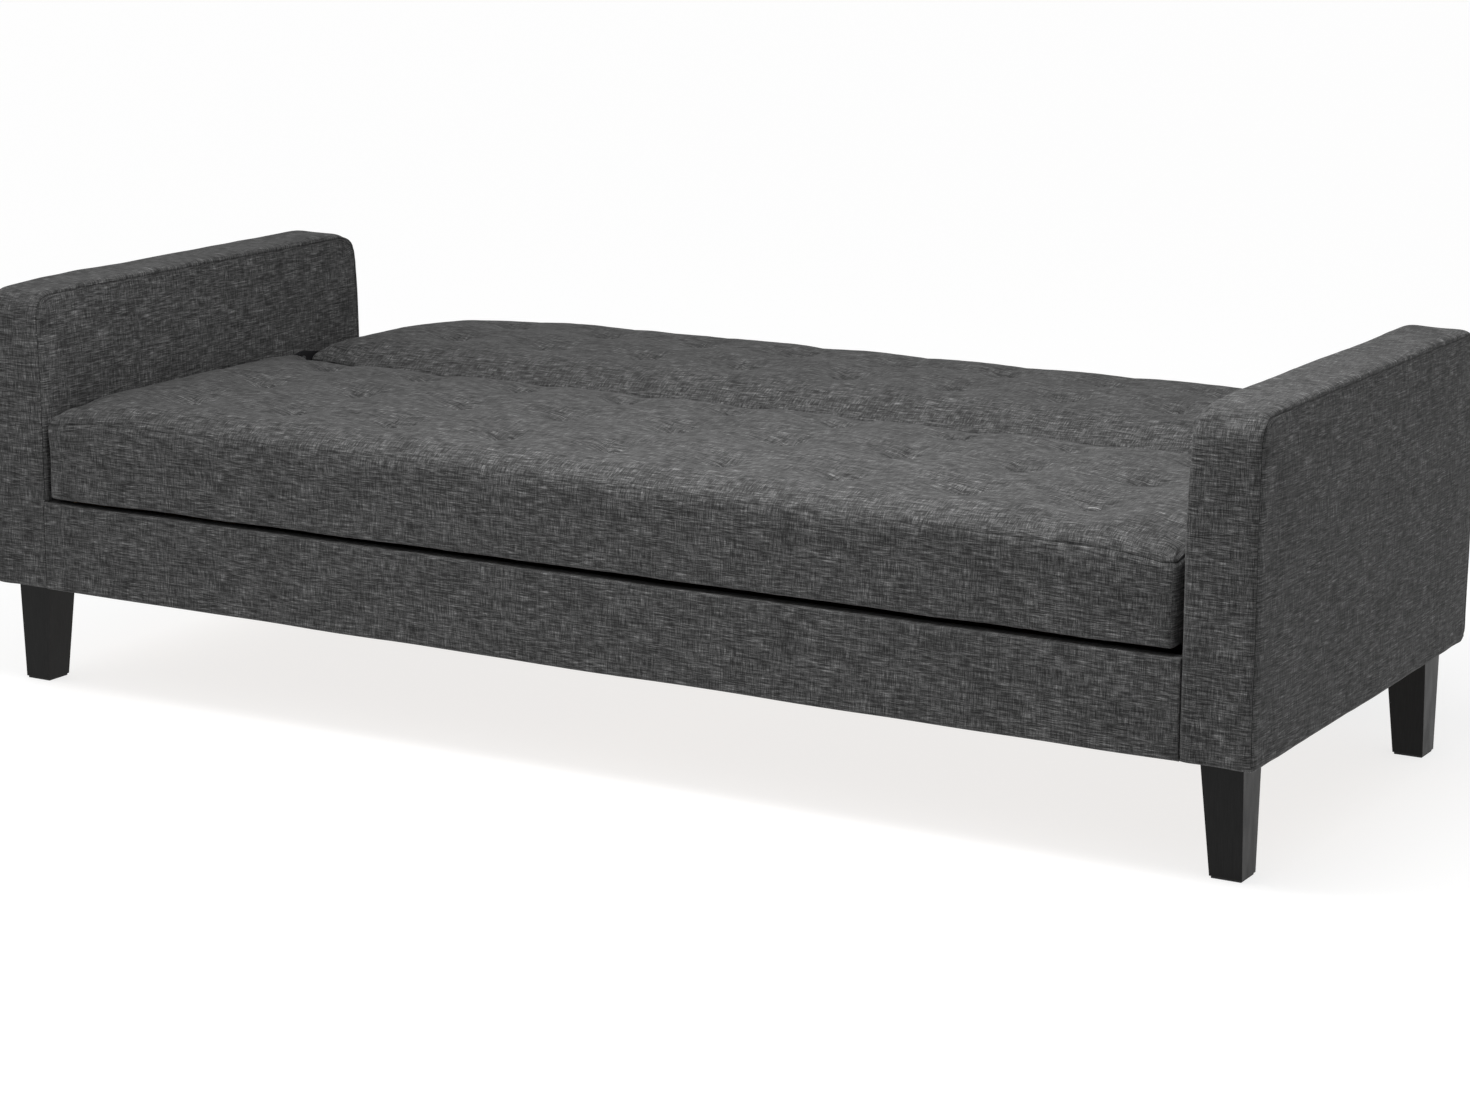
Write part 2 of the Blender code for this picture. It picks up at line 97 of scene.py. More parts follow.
def studio():
    """Soft light from most of the sky, strongest above, and a lamp over the seat."""
    world = bpy.data.worlds.new("studio")
    world.use_nodes = True
    tree = world.node_tree
    direction = add(tree, "ShaderNodeTexCoord").outputs["Generated"]
    upward = add(
        tree, "ShaderNodeVectorMath", {0: direction, 1: Vector(SKY_AXIS).normalized()},
        operation="DOT_PRODUCT",
    ).outputs["Value"]
    glow = remap(tree, upward, *SKY_SPREAD, *SKY_STRENGTH, smooth=True)
    height = add(tree, "ShaderNodeSeparateXYZ", {"Vector": direction}).outputs["Z"]
    haze = remap(tree, height, *HORIZON, smooth=True)
    tree.links.new(maths(tree, "ADD", glow, haze), tree.nodes["Background"].inputs["Strength"])
    tree.nodes["Background"].inputs["Color"].default_value = (1, 1, 1, 1)
    bpy.context.scene.world = world
    area_light("above_seat", LAMP_PLACE, LAMP_AIM, LAMP_SIZE, LAMP_POWER)
    bpy.context.scene.view_settings.view_transform = "Standard"

    mesh = bpy.data.meshes.new("floor")
    shape = bmesh.new()
    bmesh.ops.create_grid(shape, size=FLOOR_HALF)
    shape.to_mesh(mesh)
    shape.free()
    floor = bpy.data.objects.new("floor", mesh)
    floor.location.z = -FLOOR_DROP
    bpy.context.scene.collection.objects.link(floor)
    mesh.materials.append(
        plain("pale_floor", (0.25, 0.25, 0.25), 0.9, Emission_Color=(1, 1, 1, 1), Emission_Strength=0.78)
    )


SKY_AXIS = (-0.26, -0.06, 0.96)  # where the sky is brightest
SKY_SPREAD = (0.35, 0.97)  # cosines of the angle to that axis, from dim to bright
SKY_STRENGTH = (0.13, 1.25)
HORIZON = (0.02, 0.14, 0.9, 0.0)  # heights of a direction, and the haze added at each
LAMP_PLACE, LAMP_AIM = (0.36, -0.70, 1.62), (0.20, -0.37, 0.4)
LAMP_SIZE, LAMP_POWER = (1.3, 0.4), 27
FLOOR_HALF, FLOOR_DROP = 45, 0.5 * MM

# ---------------------------------------------------------------- materials


def add(tree, kind, inputs=None, **settings):
    """A new node with its settings, its inputs set to values or linked from sockets."""
    node = tree.nodes.new(kind)
    for key, value in settings.items():
        setattr(node, key, value)
    for key, value in (inputs or {}).items():
        if isinstance(value, bpy.types.NodeSocket):
            tree.links.new(value, node.inputs[key])
        else:
            node.inputs[key].default_value = value
    return node


def plain(name, colour, roughness, **sockets):
    """A Principled material. Sockets are given by name, with _ for a space."""
    material = bpy.data.materials.new(name)
    material.use_nodes = True
    shader = material.node_tree.nodes["Principled BSDF"]
    shader.inputs["Base Color"].default_value = (*colour, 1)
    shader.inputs["Roughness"].default_value = roughness
    for key, value in sockets.items():
        shader.inputs[key.replace("_", " ")].default_value = value
    return material


def scaled(tree, vector, scale, offset):
    return add(
        tree, "ShaderNodeMapping", {"Vector": vector, "Scale": scale, "Location": offset}
    ).outputs["Vector"]


def noise(tree, vector, cell, offset=(0, 0, 0), detail=2.0):
    """Noise whose grains measure cell, in metres along each axis of vector."""
    stretched = scaled(tree, vector, tuple(1 / side for side in cell), offset)
    return add(
        tree, "ShaderNodeTexNoise",
        {"Vector": stretched, "Scale": 1.0, "Detail": detail, "Roughness": 0.55},
    ).outputs["Fac"]


def maths(tree, operation, first, second=0.5, third=0.5):
    return add(
        tree, "ShaderNodeMath", {0: first, 1: second, 2: third}, operation=operation
    ).outputs[0]


def remap(tree, value, low, high, to_low, to_high, smooth=False):
    return add(
        tree, "ShaderNodeMapRange",
        {"Value": value, "From Min": low, "From Max": high, "To Min": to_low, "To Max": to_high},
        interpolation_type="SMOOTHSTEP" if smooth else "LINEAR",
    ).outputs["Result"]


def ramp(tree, value, stops):
    """A colour ramp of (position, grey or colour) stops."""
    node = add(tree, "ShaderNodeValToRGB", {"Fac": value})
    elements = node.color_ramp.elements
    while len(elements) < len(stops):
        elements.new(0.5)
    for element, (position, colour) in zip(elements, stops):
        colour = (colour,) * 3 if isinstance(colour, float) else colour
        element.position, element.color = position, (*colour, 1)
    return node.outputs["Color"]


def bump(tree, shader, height, distance, strength):
    node = add(
        tree, "ShaderNodeBump", {"Height": height, "Distance": distance, "Strength": strength}
    )
    tree.links.new(node.outputs["Normal"], shader.inputs["Normal"])


def heather_fabric():
    """Charcoal linen-look weave: slubs along both threads, in patches where one or the other
    shows more. The pieces' weave map runs along the threads, and their seam map gives the
    distance to the nearest seam, both in metres. Along each seam the colour is darkened, as
    painted shade of the seam's groove."""
    material = plain("charcoal_heather_fabric", (0.07, 0.07, 0.07), 0.93)
    tree = material.node_tree
    shader = tree.nodes["Principled BSDF"]
    for socket, value in (
        ("Sheen Weight", 0.06), ("Sheen Roughness", 0.5), ("Specular IOR Level", 0.2),
    ):
        shader.inputs[socket].default_value = value
    weave = add(tree, "ShaderNodeUVMap", uv_map="weave").outputs["UV"]

    def grains(name):
        size, offset, detail = FABRIC_GRAINS[name]
        return noise(tree, weave, (*size, 1), (*offset, 0), detail=detail)

    def mixed(share, first, second):
        return add(
            tree, "ShaderNodeMix", {"Factor": share, "A": first, "B": second}
        ).outputs["Result"]

    share = remap(tree, grains("patch"), 0.36, 0.64, 0.38, 0.76)
    threads = mixed(share, grains("warp"), grains("weft"))
    slubs = mixed(0.64, grains("warp slub"), grains("weft slub"))
    tone = maths(
        tree, "MULTIPLY_ADD", grains("fine"), FINE_SHARE,
        maths(tree, "MULTIPLY", threads, THREAD_SHARE),
    )
    tone = maths(tree, "MULTIPLY_ADD", slubs, SLUB_SHARE, tone)
    for name, swing in (("cloud", 0.014), ("mottle", 0.018)):
        tone = maths(tree, "ADD", tone, remap(tree, grains(name), 0.3, 0.7, -swing, swing))
    colour = ramp(tree, tone, FABRIC_STOPS)
    seam = add(tree, "ShaderNodeUVMap", uv_map="seam").outputs["UV"]
    beside = add(tree, "ShaderNodeSeparateXYZ", {"Vector": seam}).outputs["X"]
    beside = maths(tree, "ABSOLUTE", beside)
    # Painted shade: within about 2 mm of a seam the colour is darkened, down to 0.45 at its middle,
    # standing for the shade in its groove; the same factor also scales the bump height
    painted_seam_shade = remap(tree, beside, 0.0004, 0.0018, 0.45, 1.0, smooth=True)
    shaded = add(tree, "ShaderNodeVectorMath", {0: colour, "Scale": painted_seam_shade}, operation="SCALE")
    tree.links.new(shaded.outputs["Vector"], shader.inputs["Base Color"])
    gather = grains("gather")
    near = remap(tree, beside, 0.004, 0.026, 1.0, 0.0, smooth=True)
    pucker = maths(tree, "MULTIPLY", gather, near)
    height = maths(tree, "MULTIPLY_ADD", pucker, 0.7, maths(tree, "MULTIPLY", tone, painted_seam_shade))
    bump(tree, shader, height, 0.0011, 0.6)
    return material


FABRIC_GRAINS = {  # size across and along the weave map in metres, offset and detail
    "weft": ((0.0170, 0.0013), (0, 0), 1.5),
    "warp": ((0.0013, 0.0150), (31, 17), 1.5),
    "fine": ((0.0012, 0.0012), (5, 9), 1),
    "patch": ((0.060, 0.030), (3, 8), 2),
    "weft slub": ((0.034, 0.0034), (9, 4), 1),
    "warp slub": ((0.0032, 0.030), (2, 6), 1),
    "cloud": ((0.09, 0.06), (1, 2), 3),
    "mottle": ((0.026, 0.008), (6, 1), 1),
    "gather": ((0.0045, 0.060), (7, 3), 1),
}
FINE_SHARE, THREAD_SHARE, SLUB_SHARE = 0.16, 0.55, 0.29
FABRIC_STOPS = ((0.39, 0.011), (0.455, 0.026), (0.52, 0.058), (0.58, 0.115), (0.66, 0.25))


def wood(name, light, dark, roughness):
    """Sawn timber: stretched grain in rings about an axis far below, with a few dark streaks."""
    material = plain(name, light, roughness)
    tree = material.node_tree
    shader = tree.nodes["Principled BSDF"]
    place = add(tree, "ShaderNodeTexCoord").outputs["Object"]
    rings = noise(tree, place, (0.30, 0.004, 0.008), detail=3)
    pores = noise(tree, place, (0.02, 0.0008, 0.0008), (4, 4, 4), detail=2)
    tone = maths(tree, "MULTIPLY_ADD", pores, 0.35, maths(tree, "MULTIPLY", rings, 0.8))
    colour = ramp(tree, tone, ((0.40, dark), (0.60, light), (0.75, tuple(1.15 * c for c in light))))
    tree.links.new(colour, shader.inputs["Base Color"])
    bump(tree, shader, tone, 0.0004, 0.5)
    return material


def hardboard():
    """Pressed fibre board: fine short fibres with no grain direction."""
    material = plain("hardboard", (0.24, 0.15, 0.09), 0.6)
    tree = material.node_tree
    shader = tree.nodes["Principled BSDF"]
    place = add(tree, "ShaderNodeTexCoord").outputs["Object"]
    along = noise(tree, place, (0.006, 0.0008, 1), detail=2)
    across = noise(tree, place, (0.0008, 0.006, 1), (2, 5, 0), detail=2)
    tone = maths(tree, "MULTIPLY_ADD", along, 0.5, maths(tree, "MULTIPLY", across, 0.5))
    colour = ramp(tree, tone, ((0.38, (0.13, 0.075, 0.04)), (0.62, (0.30, 0.19, 0.11))))
    tree.links.new(colour, shader.inputs["Base Color"])
    bump(tree, shader, tone, 0.0002, 0.4)
    return material


def lacquered_wood():
    """Black lacquer on close-grained wood: the grain shows only as faint waviness."""
    material = plain(
        "black_lacquered_wood", (0.005, 0.005, 0.005), 0.38,
        Specular_IOR_Level=0.14, Coat_Weight=0.03, Coat_Roughness=0.25,
    )
    tree = material.node_tree
    shader = tree.nodes["Principled BSDF"]
    place = add(tree, "ShaderNodeTexCoord").outputs["Object"]
    fibre = noise(tree, place, (0.0012, 0.0012, 0.06), detail=3)
    rough = noise(tree, place, (0.012, 0.012, 0.05), (7, 1, 2), detail=3)
    tree.links.new(remap(tree, rough, 0.3, 0.7, 0.30, 0.44), shader.inputs["Roughness"])
    tree.links.new(ramp(tree, fibre, ((0.35, 0.003), (0.7, 0.007))), shader.inputs["Base Color"])
    bump(tree, shader, fibre, 0.00012, 0.6)
    return material


def metal(name, colour, roughness, metallic):
    """Stamped or turned steel: brushed along X, with faint stains."""
    material = plain(name, colour, roughness, Metallic=metallic)
    tree = material.node_tree
    shader = tree.nodes["Principled BSDF"]
    place = add(tree, "ShaderNodeTexCoord").outputs["Object"]
    stains = noise(tree, place, (0.012, 0.012, 0.012), detail=4)
    brush = noise(tree, place, (0.02, 0.0004, 0.0004), (3, 3, 3), detail=2)
    tree.links.new(
        remap(tree, stains, 0.3, 0.7, roughness * 0.8, roughness * 1.3), shader.inputs["Roughness"]
    )
    light = tuple(min(1.0, c * 1.15) for c in colour)
    tree.links.new(
        ramp(tree, stains, ((0.35, tuple(0.75 * c for c in colour)), (0.65, light))),
        shader.inputs["Base Color"],
    )
    bump(tree, shader, brush, 0.00005, 0.5)
    return material


def grained(name, colour, cell, roughness, distance):
    """A matt surface with an even grain, for rubber and for the non-woven lining."""
    material = plain(name, colour, roughness)
    tree = material.node_tree
    shader = tree.nodes["Principled BSDF"]
    place = add(tree, "ShaderNodeTexCoord").outputs["Object"]
    grain = noise(tree, place, (cell, cell, cell), detail=3)
    dark, light = (tuple(share * c for c in colour) for share in (0.7, 1.4))
    tree.links.new(
        ramp(tree, grain, ((0.35, dark), (0.65, light))), shader.inputs["Base Color"]
    )
    bump(tree, shader, grain, distance, 0.6)
    return material


MATERIALS = {
    "charcoal_fabric": heather_fabric(),
    "black_lining": grained("black_nonwoven_lining", (0.012, 0.012, 0.013), 0.0015, 0.9, 0.0004),
    "pine": wood("sawn_pine", (0.56, 0.40, 0.23), (0.36, 0.22, 0.11), 0.62),
    "hardboard": hardboard(),
    "black_lacquered_wood": lacquered_wood(),
    "zinc_steel": metal("zinc_plated_steel", (0.60, 0.61, 0.63), 0.30, 1.0),
    "black_steel": metal("black_hinge_steel", (0.022, 0.022, 0.024), 0.42, 0.4),
    "black_rubber": grained("black_rubber", (0.014, 0.014, 0.014), 0.0008, 0.8, 0.0001),
}
FABRIC = MATERIALS["charcoal_fabric"]


def finish_cad_parts():
    """Every CAD part takes the material of its slot in the record."""
    for part in frame["record"]["subparts"]:
        node = frame["nodes"][part["node"]]
        material = MATERIALS[part["material_slot"]]
        for slot in node.material_slots:
            slot.material = material
        if not node.material_slots:
            node.data.materials.append(material)


# ---------------------------------------------------------------- soft shapes


def lines(low, high, step, fine, reach, places=()):
    """Lattice positions from low to high, fine apart within reach of both ends and of each of
    places, and step apart elsewhere."""
    at = np.linspace(low, high, 4001)
    near = np.abs(at[:, None] - np.array([low, high, *places])).min(axis=1)
    pitch = fine + (step - fine) * band(near, reach * 0.7, reach * 1.3)
    count = np.concatenate([[0], np.cumsum(np.diff(at) * (1 / pitch[1:] + 1 / pitch[:-1]) / 2)])
    total = round(count[-1])
    return np.interp(np.arange(total + 1), count * total / count[-1], at)


def box_lattice(xs, ys, zs, rim):
    """A box's surface as quads on a lattice, open below within rim of its lower edges.
    Returns points, quads that face out, and each quad's (axis, end)."""
    axes = (xs, ys, zs)
    shape = tuple(len(axis) for axis in axes)
    quads, sides = [], []
    for a in range(3):
        b, c = (a + 1) % 3, (a + 2) % 3
        i, j = np.meshgrid(np.arange(shape[b] - 1), np.arange(shape[c] - 1), indexing="ij")
        for end in (0, shape[a] - 1):
            corners = []
            for di, dj in ((0, 0), (1, 0), (1, 1), (0, 1)):
                index = [None] * 3
                index[a], index[b], index[c] = np.full_like(i, end), i + di, j + dj
                corners.append(np.ravel_multi_index(index, shape).ravel())
            made = np.stack(corners if end else corners[::-1], axis=1)
            if a == 2 and not end:
                x, y = xs[i].ravel(), ys[j].ravel()
                inside = (x > xs[0] + rim) & (x < xs[-1] - rim)
                inside &= (y > ys[0] + rim) & (y < ys[-1] - rim)
                made = made[~inside]
            quads.append(made)
            sides += [(a, int(end > 0))] * len(made)
    quads = np.concatenate(quads)
    used, quads = np.unique(quads, return_inverse=True)
    x, y, z = np.unravel_index(used, shape)
    return np.stack([xs[x], ys[y], zs[z]], axis=1), quads.reshape(-1, 4), np.array(sides)


def soften(points, low, high, a, b, ends, radius):
    """Rounds the box edge where axes a and b meet, at the low (0) or high (1) end of each."""
    signs = [1 if end else -1 for end in ends]
    limits = [(high if end else low)[axis] for axis, end in zip((a, b), ends)]
    centres = [limit - sign * radius for limit, sign in zip(limits, signs)]
    u = signs[0] * (points[:, a] - centres[0])
    v = signs[1] * (points[:, b] - centres[1])
    corner = (u > 0) & (v > 0)
    pull = np.maximum(u, v)[corner] / np.hypot(u, v)[corner]
    points[corner, a] = centres[0] + signs[0] * u[corner] * pull
    points[corner, b] = centres[1] + signs[1] * v[corner] * pull


def rounded(*radii):
    """Box edges with their radii in millimetres: four that run along X, four upright ones and
    four that run along Y, each in the order of ENDS."""
    pairs = ((1, 2), (0, 1), (0, 2))
    return tuple(
        (*pair, ends, radius * MM)
        for pair, four in zip(pairs, radii) for ends, radius in zip(ENDS, four)
    )


ENDS = ((0, 0), (1, 0), (0, 1), (1, 1))  # low or high end of the pair's first and second axis


def weave_map(points, quads, sides, low, high):
    """Thread coordinates of each quad corner. Front, top, rear and bottom unroll as one
    strip along Y; the ends are cut separately."""
    x, y, z = (points[quads][..., axis] for axis in range(3))
    axis, end = sides[:, :1], sides[:, 1:]
    drop, length = high[2] - z, high[1] - low[1]
    strip = np.where(axis == 1, np.where(end == 0, -drop, length + drop), y - low[1])
    strip = np.where((axis == 2) & (end == 0), length + drop + high[1] - y, strip)
    across = np.where(axis == 0, y + 3 * end, x)
    return np.stack([across, np.where(axis == 0, z + 2, strip)], axis=-1).reshape(-1, 2)


def set_map(mesh, name, values):
    layer = mesh.uv_layers.new(name=name)
    layer.data.foreach_set("uv", np.ascontiguousarray(values, np.float32).ravel())


def soft_box(name, low, high, lattice, edges, rim, seam=None):
    """A closed fabric form in the box from low to high. lattice gives each axis's lines as
    (step, fine, reach, places), edges each rounded box edge as (axis, axis, ends, radius), and
    seam a function of points that gives their distance to the nearest seam."""
    points, quads, sides = box_lattice(
        *(lines(a, b, *axis) for a, b, axis in zip(low, high, lattice)), rim
    )
    weave = weave_map(points, quads, sides, low, high)
    beside = seam(points)[quads].ravel() if seam else np.ones(quads.size)
    for edge in edges:
        soften(points, low, high, *edge)
    mesh = bpy.data.meshes.new(name)
    mesh.from_pydata(points.tolist(), [], quads.tolist())
    set_map(mesh, "weave", weave)
    set_map(mesh, "seam", np.stack([beside, beside * 0], axis=-1))
    mesh.materials.append(FABRIC)
    mesh.shade_smooth()
    obj = bpy.data.objects.new(name, mesh)
    bpy.context.scene.collection.objects.link(obj)
    return obj


def seam_distance(mesh):
    """Each vertex's distance to the nearest seam, from the seam map."""
    values = np.empty(len(mesh.loops) * 2, np.float32)
    mesh.uv_layers["seam"].data.foreach_get("uv", values)
    corner = np.empty(len(mesh.loops), np.int32)
    mesh.loops.foreach_get("vertex_index", corner)
    distance = np.empty(len(mesh.vertices))
    distance[corner] = np.abs(values[::2])
    return distance


def sewn(distance, depth, puff):
    """How far a surface stands out at some distance from its seam: a groove, then a swell."""
    groove = depth * np.exp(-((distance / (1.8 * MM)) ** 2))
    return puff * band(distance, 0, 9 * MM) * (1 - band(distance, 12 * MM, 40 * MM)) - groove


def vectors(source, what):
    values = np.empty(len(source) * 3, np.float32)
    source.foreach_get(what, values)
    return values.reshape(-1, 3).astype(np.float64)


def coordinates(mesh):
    return vectors(mesh.vertices, "co")


def directions(mesh):
    """Each vertex's normal."""
    return vectors(mesh.vertex_normals, "vector")


def move(mesh, points):
    mesh.vertices.foreach_set("co", np.ascontiguousarray(points, np.float32).ravel())
    mesh.update()


def applied(obj):
    """The object's mesh with its modifiers applied."""
    graph = bpy.context.evaluated_depsgraph_get()
    made = bpy.data.meshes.new_from_object(obj.evaluated_get(graph))
    obj.modifiers.clear()
    old, obj.data = obj.data, made
    bpy.data.meshes.remove(old)
    made.name = obj.name


def subdivided(obj):
    smooth = obj.modifiers.new("smooth", "SUBSURF")
    smooth.levels = smooth.render_levels = 1
    smooth.uv_smooth = "NONE"
    applied(obj)
    obj.data.shade_smooth()


def wobble(points, cell, seed):
    """Smooth noise in -1 to 1 at each point, on sums of sines with fixed random directions."""
    random = np.random.default_rng(seed)
    total = np.zeros(len(points))
    for _ in range(7):
        direction = random.normal(size=3)
        direction *= 2 * pi / cell / np.linalg.norm(direction) * random.uniform(0.6, 1.5)
        total += np.sin(points @ direction + random.uniform(0, 2 * pi))
    return total / 3.5


def band(value, low, high):
    """0 below low, 1 above high and smooth between."""
    t = np.clip((value - low) / (high - low), 0, 1)
    return t * t * (3 - 2 * t)


# ---------------------------------------------------------------- pads


FRONT = CAD_LOW.y  # the tuft rows, slopes and droops are measured from here to the rear
TUFT_COLUMNS = 9
TUFT_STEP = (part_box("arm_right_cover")[0].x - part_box("arm_left_cover")[1].x) / (TUFT_COLUMNS + 1)
TUFT_DEPTH, TUFT_REACH = 15 * MM, 0.034
CHANNEL_DEPTH, CHANNEL_WIDTH = 1.8 * MM, 24 * MM
CROWN_REACH = 0.13
SEAM_BELOW_TOP = 21 * MM
SEAM_CLOSING = 1.1 * MM  # how far the seam closes up away from the pad's ends, which fades both its groove and its painted shade
TRIM_LOW, TRIM_HIGH = (1 * MM, 0, 0), (3 * MM, 0, 4 * MM)  # left free inside the CAD pad's box
SAG_MIDDLE, SAG_SPAN, SAG_LEVEL = 0.25, 1.08, 0.3
TOP_SWELL, SIDE_SWELL = 6 * MM, 2 * MM  # the most that the simulation may move a point
SWELL_FRAMES = 20


def tufts(rows):
    middle = (TUFT_COLUMNS - 1) / 2
    return [((k - middle) * TUFT_STEP, FRONT + row) for row in rows for k in range(TUFT_COLUMNS)]


def tuft_pull(points, places, reach):
    """1 at each tuft, and falling to 0 round it."""
    pull = np.zeros(len(points))
    for x, y in places:
        away = np.hypot(points[:, 0] - x, points[:, 1] - y)
        dip = 0.55 * np.exp(-((away / reach) ** 2)) + 0.45 * np.exp(-3 * away / reach)
        pull = np.maximum(pull, dip)
    return pull


def channels(points, columns, near, far):
    """1 along the line of each tuft column between the Y positions near and far, which run
    from an outer row of tufts out to the pad's edge."""
    across = np.abs(points[:, :1] - np.array(columns)).min(axis=1)
    along = (points[:, 1] - near) / (far - near)
    return np.exp(-((across / CHANNEL_WIDTH) ** 2)) * band(along, 0, 0.4)


def inflate(obj, pinned, cap):
    """Blows the cover up by cloth simulation, held where pinned, and caps each point's travel."""
    start = coordinates(obj.data)
    group = obj.vertex_groups.new(name="pin")
    for weight in np.unique(pinned[pinned > 0]):
        group.add(np.flatnonzero(pinned == weight).tolist(), float(weight), "REPLACE")
    cloth = obj.modifiers.new("cloth", "CLOTH")
    cloth.settings.vertex_group_mass = "pin"
    cloth.settings.quality = 5
    cloth.settings.mass = 0.3
    cloth.settings.tension_stiffness = cloth.settings.compression_stiffness = 25
    cloth.settings.bending_stiffness = 0.4
    cloth.settings.use_pressure = True
    cloth.settings.uniform_pressure_force = 2.5
    cloth.settings.effector_weights.gravity = 0
    cloth.collision_settings.use_collision = False
    scene = bpy.context.scene
    for step in range(1, SWELL_FRAMES + 1):
        scene.frame_set(step)
    applied(obj)
    scene.frame_set(1)
    travel = coordinates(obj.data) - start
    length = np.linalg.norm(travel, axis=1)
    share = np.minimum(1, cap / np.maximum(length, 1e-9))
    move(obj.data, start + travel * share[:, None])


CREASES = (  # angle, length and depth
    (1.00, 0.048, 3.4 * MM), (2.15, 0.048, 3.4 * MM), (-0.20, 0.034, 1.7 * MM),
    (3.35, 0.034, 1.7 * MM), (4.60, 0.016, 1.2 * MM),
)


def folds(points, places, seed):
    """The depth of the creases that run out from each tuft, varied from tuft to tuft."""
    random = np.random.default_rng(seed)
    depth = np.zeros(len(points))
    for x, y in places:
        dx, dy = points[:, 0] - x, points[:, 1] - y
        near = np.hypot(dx, dy) < 0.08
        turn = random.uniform(-0.25, 0.25)
        for angle, length, deep in CREASES:
            angle += turn + random.uniform(-0.25, 0.25)
            length *= random.uniform(0.75, 1.25)
            bend = random.uniform(-9, 9)
            along = dx[near] * cos(angle) + dy[near] * sin(angle)
            aside = dy[near] * cos(angle) - dx[near] * sin(angle) - bend * along**2
            reach = band(along, 0.001, 0.006) * (1 - band(along, length * 0.3, length))
            width = 0.0036 + 0.10 * np.maximum(along, 0)
            depth[near] += deep * random.uniform(0.6, 1.2) * reach * np.exp(-((aside / width) ** 2))
    return depth


def gathers(points, seed):
    """Small irregular ridges across a seam that runs along X, in -1 to 1."""
    random = np.random.default_rng(seed)
    total = np.zeros(len(points))
    for _ in range(9):
        wave = 2 * pi / random.uniform(0.010, 0.024)
        slant = wave * random.uniform(-0.35, 0.35)
        phase = random.uniform(0, 2 * pi)
        swell = 0.5 + 0.5 * np.sin(points[:, 0] * random.uniform(6, 22) + random.uniform(0, 2 * pi))
        total += swell * np.sin(points[:, 0] * wave + points[:, 1] * slant + phase)
    return total / 4


def end_distance(points, low, high):
    return np.minimum(points[:, 0] - low[0], high[0] - points[:, 0])


def side_distance(points, low, high):
    """To the nearest of the box's four sides, seen from above."""
    to_face = np.minimum(points[:, 1] - low[1], high[1] - points[:, 1])
    return np.minimum(end_distance(points, low, high), to_face)


def shape_pad(points, low, high, seam_height, rows, crown, sag, slopes, droop):
    """Moves a plain box's points to the pad's shape. Returns 1 for points of its top and 0 for
    those of its border, as they were in the box."""
    places = tufts(rows)
    columns = sorted({x for x, _ in places})
    top = band(points[:, 2], seam_height, high[2] - 3 * MM)
    to_end = end_distance(points, low, high)

    rise = crown * band(side_distance(points, low, high), 0.0, CROWN_REACH)
    rise -= TUFT_DEPTH * tuft_pull(points, places, TUFT_REACH)
    rise -= CHANNEL_DEPTH * channels(points, columns, FRONT + rows[-1], high[1])
    share = np.clip((points[:, 2] - low[2]) / (high[2] - low[2]), 0, 1)
    for start, end, depth, fade in slopes:
        fall = depth * band((points[:, 1] - FRONT - start) / (end - start), 0, 1)
        points[:, 2] -= share * fall * (band(to_end, 0, fade) if fade else 1)
    points[:, 2] += top * rise

    outer, drop, reach = droop
    corner = np.hypot(to_end, points[:, 1] - FRONT - outer)
    shoulder = band(points[:, 2], seam_height - 40 * MM, seam_height - 5 * MM)
    points[:, 2] -= shoulder * (1 - band(corner, 5 * MM, reach)) * drop

    across = (points[:, 0] - SAG_MIDDLE) / SAG_SPAN
    lower = 1 - band(points[:, 2], low[2], seam_height - 30 * MM)
    points[:, 2] += lower * sag * (SAG_LEVEL - across**2)
    return top


def held(mesh, points, seam_height, places, top):
    """How firmly the simulation holds each point: the lower border, the seam and the tufts."""
    border = 1 - band(points[:, 2], seam_height - 60 * MM, seam_height - 10 * MM)
    in_seam = seam_distance(mesh) < 3 * MM
    in_tuft = tuft_pull(points, places, 6 * MM) * top > 0.25
    firm = np.where(border > 0.6, 1.0, 0.0)
    firm = np.maximum(firm, np.where(in_seam, 0.9, 0.0))
    return np.maximum(firm, np.where(in_tuft, 1.0, 0.0))


def crease(obj, seam_height, places, seed):
    """Adds what is finer than the lattice: folds, gathers, the seam and a slight unevenness."""
    points, normals = coordinates(obj.data), directions(obj.data)
    distance = seam_distance(obj.data)
    upper = band(normals[:, 2], 0.3, 0.8)
    points[:, 2] -= upper * folds(points, places, seed)
    above = band(points[:, 2], seam_height, seam_height + 4 * MM)
    ridge = above * (1 - band(distance, 14 * MM, 38 * MM)) * (np.abs(normals[:, 0]) < 0.6)
    swell = wobble(points, 0.11, seed) * 0.8 * MM + wobble(points, 0.035, seed + 1) * 0.3 * MM
    swell += sewn(distance, 1.6 * MM, 1.0 * MM) + ridge * gathers(points, seed + 2) * 0.55 * MM
    points += normals * swell[:, None]
    move(obj.data, points)


